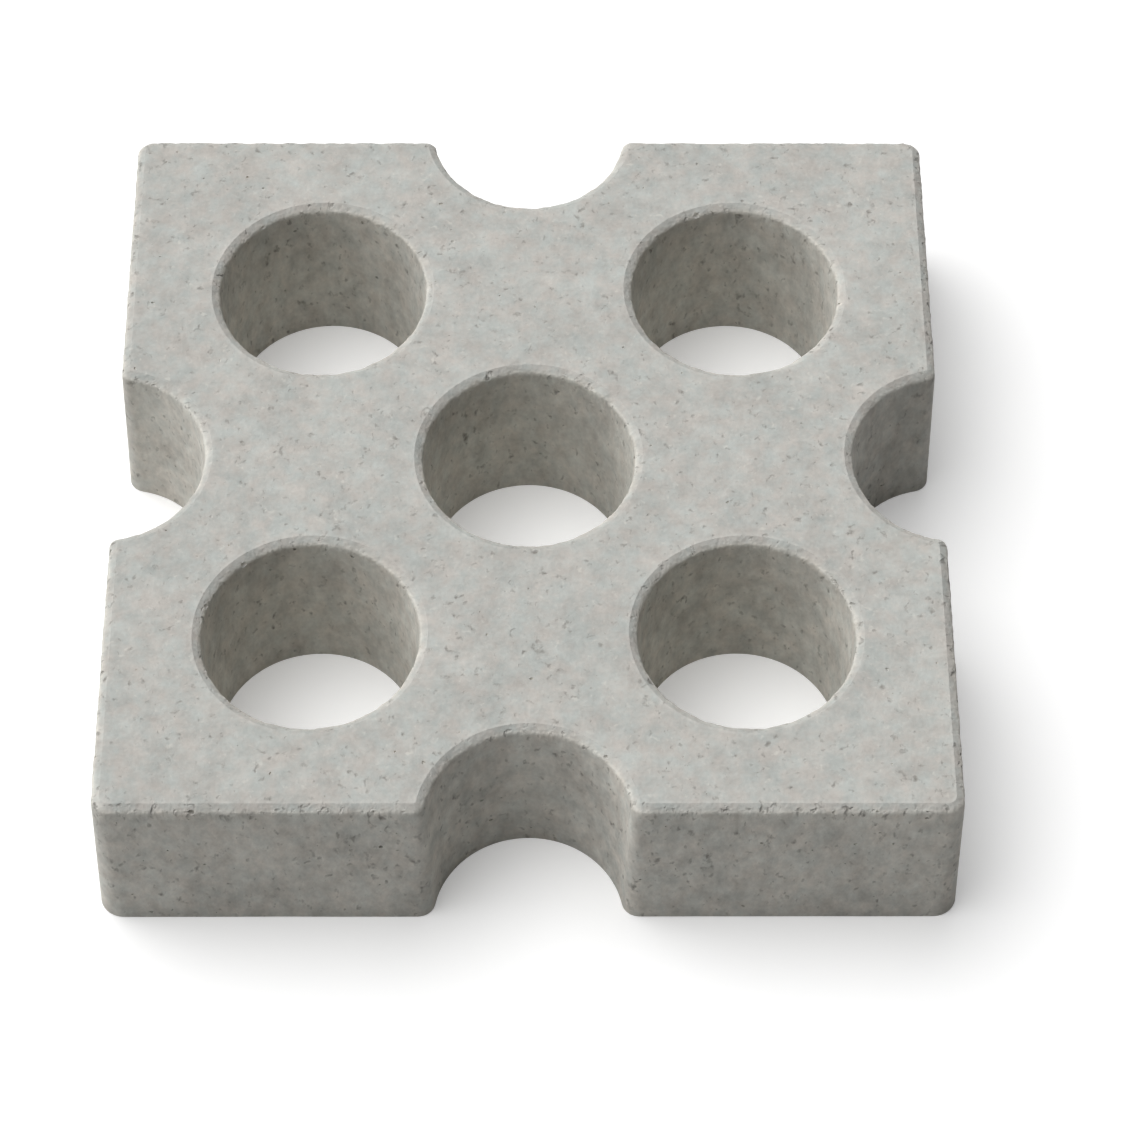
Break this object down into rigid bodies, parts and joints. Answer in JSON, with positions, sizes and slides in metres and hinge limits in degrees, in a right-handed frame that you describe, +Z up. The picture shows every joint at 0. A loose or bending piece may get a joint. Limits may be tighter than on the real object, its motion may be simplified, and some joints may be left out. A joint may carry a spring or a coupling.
{
  "type": "grass paver",
  "caption": "Square concrete paving block with round planting holes, half-round edge notches and chamfered top edges, for grass-filled driveways and parking areas.",
  "frame": {"origin": "middle of the underside, on the axis of the centre hole", "axes": "+Z up through the thickness, from the underside to the top face; X and Y along the sides"},
  "size_m": [0.3962, 0.3962, 0.09],
  "materials": {
    "concrete": "matt, as cast"
  },
  "bodies": {
    "root": {"paver": "concrete"}
  },
  "joints": []
}
